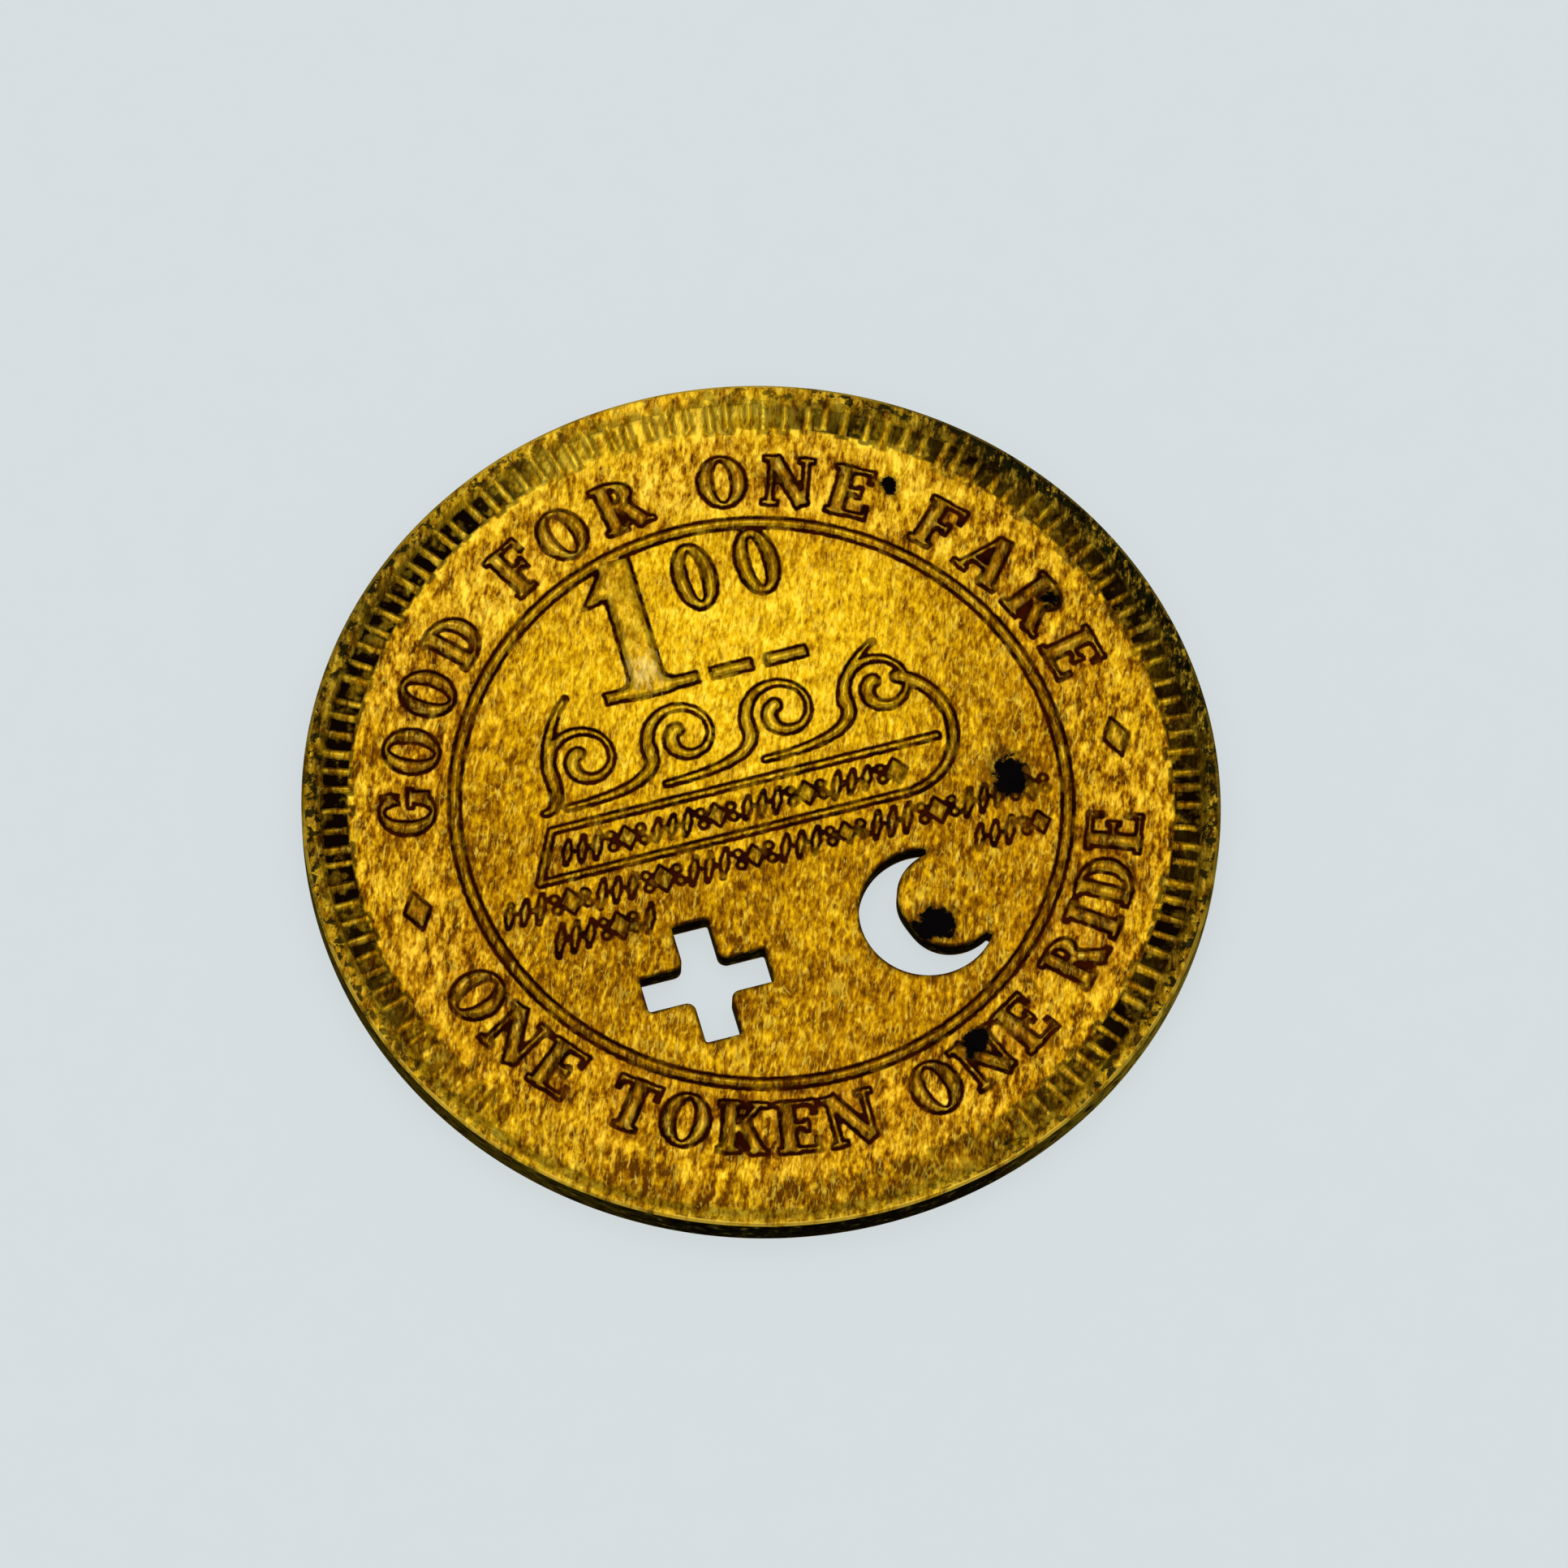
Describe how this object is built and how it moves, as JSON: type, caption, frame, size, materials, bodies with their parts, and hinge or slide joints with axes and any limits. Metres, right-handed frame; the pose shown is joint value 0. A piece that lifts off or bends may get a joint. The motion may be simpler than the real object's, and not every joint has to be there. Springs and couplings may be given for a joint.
{
  "type": "pierced brass token",
  "caption": "Round brass fare token with raised rims, denticles, arched legends, a scroll and banner, and two shaped cut-outs through the disc.",
  "frame": {"origin": "centre of the disc in the plane of the lower rim, on which the token lies", "axes": "+Z out of the obverse, +Y towards the top of the obverse design, +X to the right of that design"},
  "size_m": [0.035, 0.035, 0.0014],
  "materials": {
    "brass": "worn struck brass, dark in the crevices"
  },
  "bodies": {
    "root": {"token": "brass"}
  },
  "joints": []
}
